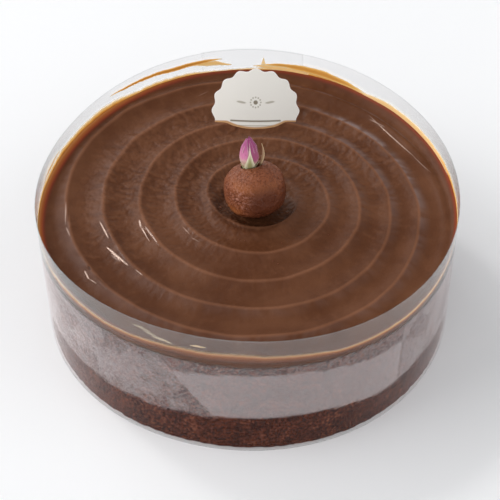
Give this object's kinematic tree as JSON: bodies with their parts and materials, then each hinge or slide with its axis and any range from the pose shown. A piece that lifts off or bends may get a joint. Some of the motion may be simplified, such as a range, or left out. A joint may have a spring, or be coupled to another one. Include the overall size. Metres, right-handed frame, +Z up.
{
  "type": "date cake",
  "caption": "Round date cake in a clear film collar, with swirled glossy sauce, a date ball that holds a rosebud, and a small scalloped card.",
  "frame": {"origin": "centre of the cake's flat underside, on the surface it stands on", "axes": "+Z up; -Y towards the viewer that the card and the rosebud face; +X to that viewer's right"},
  "size_m": [0.1995, 0.2041, 0.0984],
  "materials": {
    "dark_crumb": "moist dark crumb, matte",
    "date_sauce": "thick glossy date sauce",
    "clear_film": "clear acetate film",
    "date_paste": "rolled date paste, matte and mottled",
    "dried_petal": "dried rose petal",
    "dried_sepal": "dried sepal",
    "dried_curl": "dried sepal, straw coloured",
    "cream_card": "smooth cream card"
  },
  "bodies": {
    "root": {"cake_sponge": "dark_crumb", "swirled_sauce": "date_sauce", "film_collar": "clear_film", "date_ball": "date_paste", "rosebud": "dried_petal", "rosebud_calyx": "dried_sepal", "curled_sepal": "dried_curl", "plain_card": "cream_card"}
  },
  "joints": []
}
